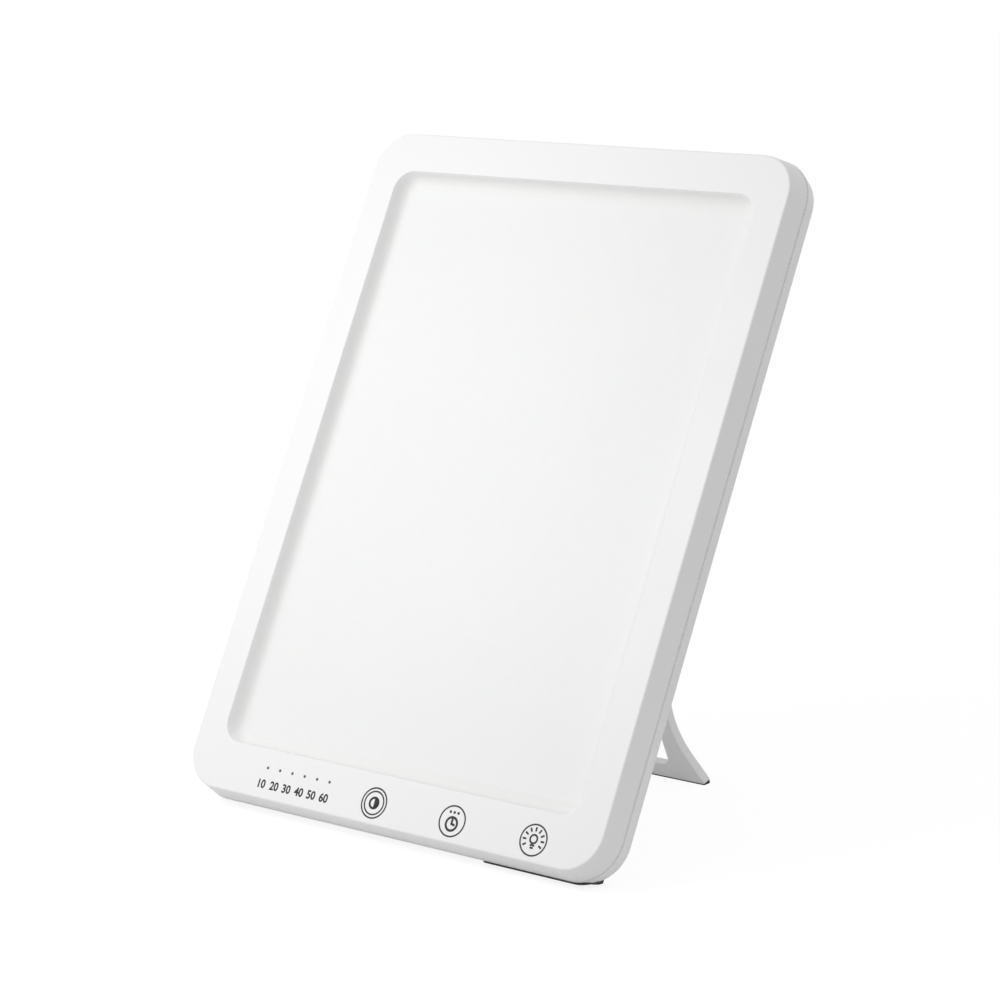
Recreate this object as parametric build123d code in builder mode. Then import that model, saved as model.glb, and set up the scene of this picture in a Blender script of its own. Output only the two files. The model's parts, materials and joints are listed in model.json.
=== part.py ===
from build123d import *
from math import atan2, cos, degrees, radians, sin, tan
import os

# Light therapy lamp: an edge-lit tablet panel that leans back on a fold-out frame stand.
# Millimetres. World frame: +X right seen from the front, +Y to the back, +Z up, the
# origin on the table under the middle of the lamp's outer box.
# Panel frame: x to the right, y down from the top edge, z the depth behind the front face.

# ---- Case ------------------------------------------------------------------------------
case_width = 180.0          # at the front face
case_height = 250.0
case_depth = 17.0
corner_radius = 13.8
side_spread = 2.0           # how far the sides lean out from the face to the parting line
cover_draw = 1.4            # how far they draw in again from there to the back
front_rim_radius = 0.7
back_rim_radius = 2.6
wall = 2.0                  # front face, side walls and back wall
cover_rim = 7.4             # how much of the side the rear cover makes
groove_width = 0.9          # shadow gap at the parting line
groove_depth = 0.6
tongue_height = 2.0         # the cover's tongue inside the front housing's wall
tongue_thickness = 1.3      # at its root
tongue_gap = 0.15
rib_thickness = 1.2
side_rib_count = 6          # front housing, window wall to side wall
cross_rib_bays = 4          # rear cover, hinge line to the folded stand's sole

# ---- Window ----------------------------------------------------------------------------
window_side = 11.65         # front rim to window, at the front face
window_top = 14.45
window_bottom = 17.5
window_radius = 7.5
window_slope = 11.0         # degrees, the window wall leans in as it goes back
window_edge_radius = 0.4
window_wall = 1.8

# ---- Optical stack, front to back --------------------------------------------------------
sheet_lap = 4.4             # how far the sheets reach behind the window wall's end
sheet_radius = 2.0
gasket_thickness = 0.3
diffuser_thickness = 1.5
film_thickness = 0.3
guide_thickness = 2.0
reflector_thickness = 0.2
plate_thickness = 0.6
plate_play = 0.1            # back plate to cover ribs
stack_play = 0.4            # back plate to the stand recess's inner face

# ---- LED strips --------------------------------------------------------------------------
led_count = 24              # on each side
led_length = 3.5
led_width = 1.8
led_height = 0.9
led_gap = 0.1               # chip to light guide
strip_thickness = 1.0
strip_width = 3.1

# ---- Controls ----------------------------------------------------------------------------
indicator_count = 6
indicator_pitch = 5.69
indicator_inset = 36.25     # left side of the case to the first dot
indicator_rise = 10.9       # bottom edge to the row of dots
indicator_radius = 0.5
indicator_led = 1.6         # side of each chip
indicator_led_height = 0.8
touch_count = 3
touch_inset = 86.0          # left side of the case to the first key
touch_side = 26.1           # last key to the right side of the case
touch_rise = 7.4
touch_pad_radius = 4.5
touch_pad_height = 3.0
comb_height = 2.0
comb_thickness = 2.0
comb_end = 2.0              # comb past its first and last pin

# ---- Control board -----------------------------------------------------------------------
board_thickness = 1.2
board_height = 10.5
board_rise = 3.0            # bottom edge of the case to the board
board_end = 15.0            # side of the case to the board's main part
board_tab = 2.7             # height of the tabs that reach the LED strips
board_gap = 0.1
coil_radius = 4.0
coil_clearance = 0.8        # coil to the stand recess's inner face
coil_chamfer = 0.5
capacitor_radius = 2.5
capacitor_height = 3.8
capacitor_edge_radius = 0.3
chip_length = 5.0
chip_width = 4.0
chip_height = 1.2
connector_length = 3.0
connector_height = 2.2
flex_socket_length = 5.0
flex_socket_width = 3.0

# ---- USB-C inlet in the left side ---------------------------------------------------------
inlet_rise = 36.0           # bottom edge to the middle of the inlet
inlet_width = 8.94
inlet_height = 3.2
inlet_length = 7.3
inlet_shell_wall = 0.3
inlet_floor = 1.5           # closed end of the shell
inlet_set_back = 0.9        # mouth below the parting line's outline
inlet_gap = 0.3             # shell to the opening in the wall
inlet_tongue_width = 6.7
inlet_tongue_thickness = 0.7
inlet_tongue_length = 4.6
inlet_board_thickness = 0.8
inlet_board_height = 16.0
inlet_board_end = 22.0      # parting line's outline to the board's inner end
flex_width = 4.0
flex_thickness = 0.3
flex_radius = 2.0
flex_lap = 4.0              # flex on the inlet's board

# ---- Screws ------------------------------------------------------------------------------
screw_radius = 1.2
screw_length = 12.0
screw_head_radius = 2.3
screw_head_height = 1.6
screw_head_sunk = 0.1
screw_head_gap = 0.25
boss_radius = 3.0
boss_clearance = 0.8        # top of the front bosses to the cover's tongue
top_screw_inset = 6.5
top_screw_side = 16.0       # side of the case to the outer screws
low_screw_inset = 7.0
low_screw_side = 11.0
mid_screw_inset = 5.4
board_screw_rise = 7.2      # bottom edge to the board's screws
board_screw_radius = 0.9
board_screw_length = 3.2
board_screw_head = 1.8
board_screw_head_height = 1.2
board_boss_radius = 2.0
thread_gap = 0.05           # pilot bore to shank, all round
shank_gap = 0.2             # clearance bore to shank, all round

# ---- Stand -------------------------------------------------------------------------------
lean = 27.2                 # degrees, the open lamp from upright
open_angle = 43.15          # degrees, stand to panel
hinge_rise = 170.0          # bottom edge to the hinge line, along the panel
stand_thickness = 4.0
stand_width = 63.4
leg_width = 5.0             # hinge line to the opening's knee
foot_width = 86.8
flare_angle = 34.0          # degrees, foot's side from the leg's line
flare_radius = 35.0
toe_height = 2.2            # upright end of the foot
toe_radius = 0.5
top_bar = 9.0               # hinge line to the opening
foot_bar = 6.6              # opening to the sole
opening_radius = 3.0
opening_spread = 2.4        # how far the opening widens below its knee
opening_angle = 10.0        # degrees, its side below the knee from the leg's line
heel = 4.0                  # stop heel above the hinge line
stand_edge_radius = 0.5
stand_gap = 0.6             # stand to recess, all round
stand_lift = 0.2            # recess floor to the folded stand, and to the heel when open
recess_wall = 1.6
scoop_width = 28.0          # finger scoop above the folded foot bar
scoop_height = 15.0
pin_radius = 1.25
pin_length = 16.0
pin_in_case = 6.4
running_fit = 0.05
washer_radius = 1.9
washer_thickness = 0.5
hinge_boss_length = 9.0
hinge_boss_height = 8.0
strip_height = 0.5          # soft strip under the stand's foot, at its thin side
strip_key = 1.4             # its key into the foot, thickness and depth

# ---- Pads under the bottom edge ----------------------------------------------------------
pad_length = 48.0
pad_inset = 7.0             # side of the case to the pad
pad_depth = 2.4             # back of the case to the pad's front
pad_grip = 1.2              # into the rim
pad_proud = 0.5
sole_width = 2.0            # flat of the pads on the table

# ---- Places that follow ------------------------------------------------------------------
half_width = case_width / 2
bezel_depth = case_depth - cover_rim
side_draft = degrees(atan2(side_spread, bezel_depth))
cover_draft = degrees(atan2(cover_draw, cover_rim))
back_spread = side_spread - cover_draw
case_side = half_width + side_spread
cover_inside = case_depth - wall
cover_inset = wall + tongue_gap + tongue_thickness
recess_floor = case_depth - stand_thickness - 2 * stand_lift
recess_inside = recess_floor - recess_wall
tongue_tip = bezel_depth - tongue_height
boss_depth = tongue_tip - boss_clearance

plate_back = recess_inside - stack_play
plate_depth = plate_back - plate_thickness
reflector_depth = plate_depth - reflector_thickness
guide_depth = reflector_depth - guide_thickness
film_depth = guide_depth - film_thickness
screen_depth = film_depth - diffuser_thickness

window_wall_depth = screen_depth - gasket_thickness
window_draw = window_wall_depth * tan(radians(window_slope))
window_width = case_width - 2 * window_side
window_height = case_height - window_top - window_bottom
window_y = window_top + window_height / 2

window_wall_x = window_width / 2 - window_draw + window_wall / 2
side_rib_x = (window_wall_x + half_width) / 2
side_rib_length = half_width - window_wall_x

sheet_width = window_width - 2 * window_draw + 2 * sheet_lap
sheet_height = window_height - 2 * window_draw + 2 * sheet_lap
sheet_bottom = window_y + sheet_height / 2

led_x = sheet_width / 2 + led_gap
strip_x = led_x + led_height
flange_x = strip_x + strip_thickness
strip_front = plate_depth - strip_width

board_depth = wall + touch_pad_height
board_back = board_depth + board_thickness
coil_height = recess_inside - coil_clearance - board_back
board_bottom = case_height - board_rise
board_top = board_bottom - board_height
board_y = board_bottom - board_height / 2
board_half = half_width - board_end
notch_radius = boss_radius + board_gap

indicator_y = case_height - indicator_rise
indicator_x = [indicator_inset - half_width + i * indicator_pitch for i in range(indicator_count)]
comb_middle = (indicator_x[0] + indicator_x[-1]) / 2
comb_length = indicator_x[-1] - indicator_x[0] + 2 * comb_end
touch_y = case_height - touch_rise
touch_pitch = (case_width - touch_inset - touch_side) / (touch_count - 1)
touch_x = [touch_inset - half_width + i * touch_pitch for i in range(touch_count)]
key_gap_x = [(left + right) / 2 for left, right in zip(touch_x, touch_x[1:])]

mid_screw_x = (indicator_x[-1] + touch_x[0]) / 2
cover_screw_spots = [
    (top_screw_side - half_width, top_screw_inset),
    (0, top_screw_inset),
    (half_width - top_screw_side, top_screw_inset),
    (low_screw_side - half_width, case_height - low_screw_inset),
    (mid_screw_x, case_height - mid_screw_inset),
    (half_width - low_screw_side, case_height - low_screw_inset),
]
board_screw_y = case_height - board_screw_rise
board_screw_spots = [(x, board_screw_y) for x in [comb_middle, *key_gap_x]]
head_seat = case_depth - screw_head_sunk - screw_head_height

inlet_y = case_height - inlet_rise
inlet_board_depth = cover_inside - inlet_board_thickness
inlet_depth = inlet_board_depth - inlet_height / 2
flex_x = inlet_board_end - case_side - flex_width / 2
flex_start = inlet_y + inlet_board_height / 2 - flex_lap
coil_x = (comb_middle + mid_screw_x) / 2
capacitor_x = (flex_x + comb_middle) / 2

barrel_radius = stand_thickness / 2
hinge_depth = recess_floor + stand_lift + barrel_radius
hinge_y = case_height - hinge_rise
washer_x = stand_width / 2 + (stand_gap - washer_thickness) / 2
pin_end = stand_width / 2 + stand_gap + pin_in_case

# ---- How the open lamp stands ------------------------------------------------------------
slope = open_angle - lean
sin_lean, cos_lean = sin(radians(lean)), cos(radians(lean))
sin_slope, cos_slope = sin(radians(slope)), cos(radians(slope))
edge_rise = ((case_depth + pad_proud) * sin_lean + (back_spread + pad_proud) * cos_lean
             - sole_width * sin_lean * cos_lean)
hinge_rise_z = edge_rise + hinge_rise * cos_lean - hinge_depth * sin_lean
hinge_back = hinge_rise * sin_lean + hinge_depth * cos_lean
heel_to_sole = (hinge_rise_z + barrel_radius * sin_slope) / cos_slope
foot_back = (hinge_back + heel_to_sole * sin_slope + barrel_radius * cos_slope
             - stand_edge_radius * (sin_slope + cos_slope - 1))
front_back = front_rim_radius * (cos_lean + sin_lean * tan(radians(45 - side_draft / 2)) - 1)
edge_y = -(foot_back + front_back) / 2

PANEL = Plane(
    origin=(0, edge_y + case_height * sin_lean, edge_rise + case_height * cos_lean),
    x_dir=(1, 0, 0),
    z_dir=(0, cos_lean, -sin_lean),
)
STAND = Plane(
    origin=(0, edge_y + hinge_back, hinge_rise_z),
    x_dir=(1, 0, 0),
    z_dir=(0, cos_slope, sin_slope),
)
BACKWARD = Axis(PANEL.origin, PANEL.z_dir)
OUTWARD = Axis(STAND.origin, STAND.z_dir)
SIDEWAYS = Plane(origin=STAND.origin, x_dir=STAND.y_dir, z_dir=(1, 0, 0))
INLET = Plane(
    origin=PANEL.from_local_coords((-case_side, inlet_y, inlet_depth)),
    x_dir=PANEL.y_dir,
    z_dir=(1, 0, 0),
)
FLEX = Plane(
    origin=PANEL.from_local_coords((flex_x - flex_width / 2, 0, 0)),
    x_dir=PANEL.y_dir,
    z_dir=(1, 0, 0),
)
MIDDLE = Plane.YZ


def at_depth(depth):
    """The panel's plane this far behind the front face."""
    return PANEL.offset(depth)


def wall_inset(depth, thickness):
    """Inset at this depth of a surface that lies this thick inside the leaning side."""
    return thickness / cos(radians(side_draft)) - depth * tan(radians(side_draft))


def case_outline(inset, mode=Mode.ADD):
    """The face's rounded outline in the open sketch, smaller all round by inset."""
    with Locations((0, case_height / 2)):
        RectangleRounded(
            case_width - 2 * inset, case_height - 2 * inset, corner_radius - inset, mode=mode
        )


def window_outline(growth, mode=Mode.ADD):
    """The window at the front face in the open sketch, larger all round by growth."""
    with Locations((0, window_y)):
        RectangleRounded(
            window_width + 2 * growth, window_height + 2 * growth, window_radius + growth, mode=mode
        )


def sheet_outline():
    """One sheet of the optical stack in the open sketch."""
    with Locations((0, window_y)):
        RectangleRounded(sheet_width, sheet_height, sheet_radius)


def stand_outline(hinge_line=0.0, growth=0.0):
    """The frame stand without its opening in the open sketch, larger all round by growth."""
    leg, foot = stand_width / 2, foot_width / 2
    toe = heel_to_sole - toe_height
    knee = toe - (foot - leg) / tan(radians(flare_angle))
    with Locations((0, hinge_line)):
        Polygon(
            (-leg, -heel), (leg, -heel), (leg, knee), (foot, toe), (foot, heel_to_sole),
            (-foot, heel_to_sole), (-foot, toe), (-leg, knee), align=None,
        )
    fillet(vertices().group_by(Axis.Y)[1], flare_radius)
    fillet(vertices().group_by(Axis.Y)[-1], toe_radius)
    if growth:
        offset(amount=growth)


def stand_opening(hinge_line=0.0, shrink=0.0):
    """Cut the stand's opening from the open sketch, smaller all round by shrink."""
    top, bottom = top_bar + shrink, heel_to_sole - foot_bar - shrink
    side = stand_width / 2 - leg_width - shrink
    knee = heel_to_sole - foot_bar - opening_spread / tan(radians(opening_angle))
    low_side = side + (bottom - knee) * tan(radians(opening_angle))
    with Locations((0, hinge_line)):
        Polygon(
            (-side, top), (side, top), (side, knee), (low_side, bottom),
            (-low_side, bottom), (-side, knee), align=None, mode=Mode.SUBTRACT,
        )
    fillet(vertices(Select.LAST), opening_radius - shrink)


def scoop_outline(growth=0.0):
    """The finger scoop in the open sketch, at the island's lower end, larger by growth."""
    with Locations((0, hinge_y + heel_to_sole - foot_bar - stand_gap)):
        SlotOverall(scoop_width + 2 * growth, scoop_height + 2 * growth)


def pad_outline(proud):
    """The right-hand pad in the open sketch: a strip that follows the bottom rim."""
    case_outline(-back_spread - proud)
    case_outline(pad_grip - back_spread, mode=Mode.SUBTRACT)
    with Locations((half_width - pad_inset - pad_length / 2, case_height)):
        Rectangle(pad_length, 2 * corner_radius, mode=Mode.INTERSECT)


# ---- Front housing: face, sloping window wall, side walls, bosses --------------------------
with BuildPart() as front_bezel:
    with BuildSketch(at_depth(0)):
        case_outline(0)
    extrude(amount=bezel_depth, taper=-side_draft)
    fillet(front_bezel.faces().sort_by(BACKWARD)[0].edges(), front_rim_radius)
    with BuildSketch(at_depth(wall)):
        case_outline(wall_inset(wall, wall))
    extrude(amount=bezel_depth - wall, taper=-side_draft, mode=Mode.SUBTRACT)
    with BuildSketch(at_depth(0)):
        window_outline(window_wall)
    extrude(amount=window_wall_depth, taper=window_slope)
    with BuildSketch(at_depth(wall)):
        for side in (-1, 1):
            with Locations((side * side_rib_x, window_y)):
                with GridLocations(0, window_height / side_rib_count, 1, side_rib_count):
                    Rectangle(side_rib_length, rib_thickness)
    extrude(amount=window_wall_depth - wall)
    with BuildSketch(at_depth(wall)):
        with Locations(cover_screw_spots):
            Circle(boss_radius)
    extrude(amount=boss_depth - wall)
    with BuildSketch(at_depth(wall)):
        with Locations(board_screw_spots):
            Circle(board_boss_radius)
    extrude(amount=board_depth - wall)
    with BuildSketch(at_depth(0)):
        window_outline(0)
    extrude(amount=window_wall_depth, taper=window_slope, mode=Mode.SUBTRACT)
    window_rim = front_bezel.faces().sort_by(BACKWARD)[0].inner_wires()[0]
    fillet(window_rim.edges(), window_edge_radius)
    with BuildSketch(at_depth(head_seat - screw_length)):
        with Locations(cover_screw_spots):
            Circle(screw_radius + thread_gap)
    extrude(amount=screw_length, mode=Mode.SUBTRACT)
    with BuildSketch(at_depth(board_back - board_screw_length)):
        with Locations(board_screw_spots):
            Circle(board_screw_radius + thread_gap)
    extrude(amount=board_screw_length, mode=Mode.SUBTRACT)
    with BuildSketch(at_depth(0)):
        with Locations([(x, indicator_y) for x in indicator_x]):
            Circle(indicator_radius + thread_gap)
    extrude(amount=wall, mode=Mode.SUBTRACT)
    with BuildSketch(at_depth(bezel_depth - groove_width)):
        case_outline(-side_spread)
        case_outline(groove_depth - side_spread, mode=Mode.SUBTRACT)
    extrude(amount=groove_width, mode=Mode.SUBTRACT)

# ---- Optical stack ------------------------------------------------------------------------
with BuildPart() as window_gasket:
    with BuildSketch(at_depth(window_wall_depth)):
        window_outline(window_wall - window_draw)
        window_outline(-window_draw, mode=Mode.SUBTRACT)
    extrude(amount=gasket_thickness)

with BuildPart() as diffuser:
    with BuildSketch(at_depth(screen_depth)):
        sheet_outline()
    extrude(amount=diffuser_thickness)

with BuildPart() as diffusing_film:
    with BuildSketch(at_depth(film_depth)):
        sheet_outline()
    extrude(amount=film_thickness)

with BuildPart() as light_guide:
    with BuildSketch(at_depth(guide_depth)):
        sheet_outline()
    extrude(amount=guide_thickness)

with BuildPart() as reflector_sheet:
    with BuildSketch(at_depth(reflector_depth)):
        sheet_outline()
    extrude(amount=reflector_thickness)

# Back plate: a shallow aluminium channel whose side flanges carry the LED strips.
with BuildPart() as back_plate:
    with BuildSketch(at_depth(plate_depth)):
        with Locations((0, window_y)):
            Rectangle(2 * (flange_x + plate_thickness), sheet_height)
    extrude(amount=plate_thickness)
    with BuildSketch(at_depth(strip_front)):
        with Locations((-flange_x - plate_thickness / 2, window_y),
                       (flange_x + plate_thickness / 2, window_y)):
            Rectangle(plate_thickness, sheet_height)
    extrude(amount=plate_back - strip_front)

# ---- LED strips ----------------------------------------------------------------------------
strip_bottom = board_top + board_tab
strip_length = strip_bottom - (sheet_bottom - sheet_height)
led_pitch = sheet_height / led_count

with BuildPart() as led_strip_right:
    with BuildSketch(at_depth(strip_front)):
        with Locations((strip_x + strip_thickness / 2, strip_bottom - strip_length / 2)):
            Rectangle(strip_thickness, strip_length)
    extrude(amount=strip_width)

with BuildPart() as led_chips_right:
    with BuildSketch(at_depth(guide_depth + (guide_thickness - led_width) / 2)):
        with Locations((led_x + led_height / 2, window_y)):
            with GridLocations(0, led_pitch, 1, led_count):
                Rectangle(led_height, led_length)
    extrude(amount=led_width)

with BuildPart() as led_strip_left:
    mirror(led_strip_right.part, about=MIDDLE)

with BuildPart() as led_chips_left:
    mirror(led_chips_right.part, about=MIDDLE)

# ---- Controls ------------------------------------------------------------------------------
# Control board: notched round the middle cover screw's post, with a tab at each end that
# reaches the LED strip above the corner screw's boss.
with BuildPart() as control_board:
    with BuildSketch(at_depth(board_depth)):
        with Locations((0, board_y)):
            Rectangle(2 * board_half, board_height)
        with Locations((0, board_top + board_tab / 2)):
            Rectangle(2 * (strip_x - board_gap), board_tab)
        with Locations((mid_screw_x, case_height - mid_screw_inset)):
            Circle(notch_radius, mode=Mode.SUBTRACT)
            Rectangle(2 * notch_radius, 2 * notch_radius, align=(Align.CENTER, Align.MIN),
                      mode=Mode.SUBTRACT)
        with Locations(board_screw_spots):
            Circle(board_screw_radius + shank_gap, mode=Mode.SUBTRACT)
    extrude(amount=board_thickness)

with BuildPart() as touch_pads:
    with BuildSketch(at_depth(wall)):
        with Locations([(x, touch_y) for x in touch_x]):
            Circle(touch_pad_radius)
    extrude(amount=touch_pad_height)

with BuildPart() as indicator_leds:
    with BuildSketch(at_depth(board_depth - indicator_led_height)):
        with Locations([(x, indicator_y) for x in indicator_x]):
            Rectangle(indicator_led, indicator_led)
    extrude(amount=indicator_led_height)

# Light-pipe comb: six clear pins that end flush with the face, on one bar over the chips.
with BuildPart() as light_pipe_comb:
    with BuildSketch(at_depth(wall)):
        with Locations((comb_middle, indicator_y)):
            SlotOverall(comb_length, comb_height)
    extrude(amount=comb_thickness)
    with BuildSketch(at_depth(0)):
        with Locations([(x, indicator_y) for x in indicator_x]):
            Circle(indicator_radius)
    extrude(amount=wall)

with BuildPart() as board_connectors:
    with BuildSketch(at_depth(board_back)):
        for side in (-1, 1):
            with Locations((side * (strip_x - connector_length / 2), board_top + board_tab / 2)):
                Rectangle(connector_length, board_tab)
        with Locations((flex_x, board_y)):
            Rectangle(flex_socket_length, flex_socket_width)
    extrude(amount=connector_height)

with BuildPart() as driver_coil:
    with BuildSketch(at_depth(board_back)):
        with Locations((coil_x, board_y)):
            Circle(coil_radius)
    extrude(amount=coil_height)
    chamfer(driver_coil.faces().sort_by(BACKWARD)[-1].edges(), coil_chamfer)

with BuildPart() as driver_capacitor:
    with BuildSketch(at_depth(board_back)):
        with Locations((capacitor_x, board_y)):
            Circle(capacitor_radius)
    extrude(amount=capacitor_height)
    fillet(driver_capacitor.faces().sort_by(BACKWARD)[-1].edges(), capacitor_edge_radius)

with BuildPart() as driver_chips:
    with BuildSketch(at_depth(board_back)):
        with Locations([(x, board_y) for x in touch_x]):
            Rectangle(chip_length, chip_width)
    extrude(amount=chip_height)

with BuildPart() as board_screws:
    with BuildSketch(at_depth(board_back)):
        with Locations(board_screw_spots):
            Circle(board_screw_head)
    extrude(amount=board_screw_head_height)
    fillet(board_screws.faces().sort_by(BACKWARD)[-len(board_screw_spots):].edges(),
           board_screw_head_height / 2)
    with BuildSketch(at_depth(board_back - board_screw_length)):
        with Locations(board_screw_spots):
            Circle(board_screw_radius)
    extrude(amount=board_screw_length)

# ---- USB-C inlet ---------------------------------------------------------------------------
# Shell and tongue on a small board against the back wall, with a flex to the control board.
with BuildPart() as inlet_shell:
    with BuildSketch(INLET.offset(inlet_set_back)):
        SlotOverall(inlet_width, inlet_height)
    extrude(amount=inlet_length)
    with BuildSketch(INLET.offset(inlet_set_back)):
        SlotOverall(inlet_width - 2 * inlet_shell_wall, inlet_height - 2 * inlet_shell_wall)
    extrude(amount=inlet_length - inlet_floor, mode=Mode.SUBTRACT)

with BuildPart() as inlet_tongue:
    with BuildSketch(INLET.offset(inlet_set_back + inlet_length - inlet_floor)):
        Rectangle(inlet_tongue_width, inlet_tongue_thickness)
    extrude(amount=-inlet_tongue_length)

with BuildPart() as inlet_board:
    with BuildSketch(at_depth(inlet_board_depth)):
        with Locations(((cover_inset + inlet_board_end) / 2 - case_side, inlet_y)):
            Rectangle(inlet_board_end - cover_inset, inlet_board_height)
    extrude(amount=inlet_board_thickness)

with BuildPart() as inlet_flex:
    with BuildSketch(FLEX):
        with BuildLine():
            FilletPolyline(
                (flex_start, inlet_board_depth - flex_thickness / 2),
                (board_y, inlet_board_depth - flex_thickness / 2),
                (board_y, board_back + connector_height),
                radius=flex_radius,
            )
        trace(line_width=flex_thickness)
    extrude(amount=flex_width)

# ---- Rear cover: rim, back wall, stand recess round a raised island, hinge bosses ------------
rib_front = plate_back + plate_play
hinge_boss_x = stand_width / 2 + stand_gap + hinge_boss_length / 2
long_rib_x = (foot_width / 2 + recess_wall + sheet_width / 2) / 2
rib_rows = [hinge_y + i * heel_to_sole / cross_rib_bays for i in (-1, 1, 2, 3)]

with BuildPart() as rear_cover:
    with BuildSketch(at_depth(bezel_depth)):
        case_outline(-side_spread)
    extrude(amount=cover_rim, taper=cover_draft)
    fillet(rear_cover.faces().sort_by(BACKWARD)[-1].edges(), back_rim_radius)
    with BuildSketch(at_depth(tongue_tip)):
        case_outline(wall_inset(tongue_tip, wall + tongue_gap))
    extrude(amount=tongue_height, taper=-side_draft)
    with BuildSketch(at_depth(tongue_tip)):
        case_outline(cover_inset - side_spread)
    extrude(amount=cover_inside - tongue_tip, mode=Mode.SUBTRACT)
    with BuildSketch(at_depth(recess_inside)):
        stand_outline(hinge_y, stand_gap + recess_wall)
        stand_opening(hinge_y, stand_gap + recess_wall)
        scoop_outline(recess_wall)
    extrude(amount=cover_inside - recess_inside)
    with BuildSketch(at_depth(recess_inside)):
        with Locations((-hinge_boss_x, hinge_y), (hinge_boss_x, hinge_y)):
            Rectangle(hinge_boss_length, hinge_boss_height)
    extrude(amount=cover_inside - recess_inside)
    with BuildSketch(at_depth(boss_depth)):
        with Locations(cover_screw_spots):
            Circle(boss_radius)
    extrude(amount=cover_inside - boss_depth)
    with BuildSketch(at_depth(rib_front)):
        with Locations([(0, y) for y in rib_rows]):
            Rectangle(sheet_width, rib_thickness)
        with Locations((-long_rib_x, window_y), (long_rib_x, window_y)):
            Rectangle(rib_thickness, sheet_height)
    extrude(amount=cover_inside - rib_front)
    with BuildSketch(at_depth(recess_floor)):
        stand_outline(hinge_y, stand_gap)
        stand_opening(hinge_y, stand_gap)
        scoop_outline()
    extrude(amount=case_depth - recess_floor, mode=Mode.SUBTRACT)
    with BuildSketch(SIDEWAYS):
        Circle(pin_radius)
    extrude(amount=pin_end, both=True, mode=Mode.SUBTRACT)
    with BuildSketch(at_depth(boss_depth)):
        with Locations(cover_screw_spots):
            Circle(screw_radius + shank_gap)
    extrude(amount=head_seat - boss_depth, mode=Mode.SUBTRACT)
    with BuildSketch(at_depth(head_seat)):
        with Locations(cover_screw_spots):
            Circle(screw_head_radius + screw_head_gap)
    extrude(amount=case_depth - head_seat, mode=Mode.SUBTRACT)
    with BuildSketch(INLET):
        SlotOverall(inlet_width + 2 * inlet_gap, inlet_height + 2 * inlet_gap)
    extrude(amount=cover_inset, mode=Mode.SUBTRACT)
    with BuildSketch(at_depth(case_depth - pad_depth)):
        pad_outline(pad_proud)
        mirror(about=Plane.YZ)
    extrude(amount=pad_depth, mode=Mode.SUBTRACT)

with BuildPart() as cover_screws:
    with BuildSketch(at_depth(head_seat)):
        with Locations(cover_screw_spots):
            Circle(screw_head_radius)
    extrude(amount=screw_head_height)
    fillet(cover_screws.faces().sort_by(BACKWARD)[-len(cover_screw_spots):].edges(),
           screw_head_height / 2)
    with BuildSketch(at_depth(head_seat - screw_length)):
        with Locations(cover_screw_spots):
            Circle(screw_radius)
    extrude(amount=screw_length)

# ---- Pads under the bottom edge, cut level with the table ------------------------------------
with BuildPart() as base_pad_right:
    with BuildSketch(at_depth(case_depth - pad_depth)):
        pad_outline(pad_proud)
    extrude(amount=pad_depth + pad_proud)
    split(bisect_by=Plane.XY, keep=Keep.TOP)

with BuildPart() as base_pad_left:
    mirror(base_pad_right.part, about=MIDDLE)

# ---- Fold-out stand ----------------------------------------------------------------------------
# The whole frame is shaped first: edges rounded, the heel cut flat where it stops on the
# recess floor, the hinge line's barrel rounded between heel and plate, the sole cut level
# with the table. Its last stretch is then the soft strip, which keys into the foot.
with BuildPart() as stand_blank:
    with BuildSketch(STAND.offset(-barrel_radius)):
        stand_outline()
        stand_opening()
    extrude(amount=stand_thickness)
    broad_faces = stand_blank.faces().sort_by(OUTWARD)
    fillet(broad_faces[0].edges() + broad_faces[-1].edges(), stand_edge_radius)
    split(bisect_by=at_depth(recess_floor + stand_lift), keep=Keep.TOP)
    with BuildSketch(SIDEWAYS):
        Polygon(
            (0, 0),
            (0, -barrel_radius),
            (-barrel_radius * tan(radians(open_angle / 2)), -barrel_radius),
            (-barrel_radius * sin(radians(open_angle)), -barrel_radius * cos(radians(open_angle))),
            align=None,
        )
        Circle(barrel_radius, mode=Mode.SUBTRACT)
    extrude(amount=stand_width, both=True, mode=Mode.SUBTRACT)
    split(bisect_by=Plane.XY, keep=Keep.TOP)

key_length = foot_width - 2 * foot_bar
seam = heel_to_sole - stand_thickness * sin_slope / cos_slope - strip_height
SEAM = Plane(origin=STAND.origin + STAND.y_dir * seam, x_dir=(1, 0, 0), z_dir=STAND.y_dir)

with BuildPart() as foot_strip:
    add(stand_blank.part)
    split(bisect_by=SEAM, keep=Keep.TOP)
    with BuildSketch(SEAM):
        Rectangle(key_length, strip_key)
    extrude(amount=-strip_key)

with BuildPart() as kickstand:
    add(stand_blank.part)
    split(bisect_by=SEAM, keep=Keep.BOTTOM)
    with BuildSketch(SEAM):
        Rectangle(key_length, strip_key)
    extrude(amount=-strip_key, mode=Mode.SUBTRACT)
    with BuildSketch(SIDEWAYS):
        Circle(pin_radius + running_fit)
    extrude(amount=stand_width, both=True, mode=Mode.SUBTRACT)

with BuildPart() as hinge_pins:
    with BuildSketch(SIDEWAYS.offset(pin_end - pin_length)):
        Circle(pin_radius)
    extrude(amount=pin_length)
    mirror(about=MIDDLE)

with BuildPart() as hinge_washers:
    with BuildSketch(SIDEWAYS.offset(washer_x)):
        Circle(washer_radius)
        Circle(pin_radius + running_fit, mode=Mode.SUBTRACT)
    extrude(amount=washer_thickness)
    mirror(about=MIDDLE)

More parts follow.
